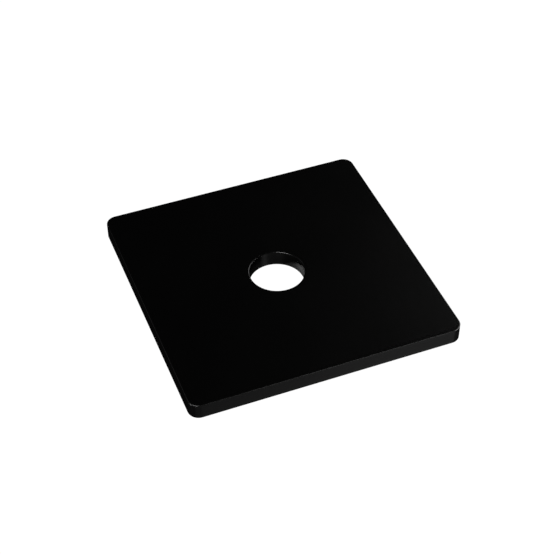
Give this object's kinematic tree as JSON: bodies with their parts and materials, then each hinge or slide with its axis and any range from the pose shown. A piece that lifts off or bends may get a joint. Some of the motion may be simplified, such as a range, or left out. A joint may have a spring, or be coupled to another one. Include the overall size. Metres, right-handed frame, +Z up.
{
  "type": "fence post cap",
  "caption": "Flat square black steel cap plate for the end of a square fence post, with rounded corners and a plain round hole through its centre.",
  "frame": {"origin": "centre of the underside, where the hole's axis meets the face that sits on the post", "axes": "+Z up, along the hole's axis and out of the top face; +X and +Y along the plate's sides"},
  "size_m": [0.05, 0.05, 0.0032],
  "materials": {
    "black_coat": "satin"
  },
  "bodies": {
    "root": {"cap_plate": "black_coat"}
  },
  "joints": []
}
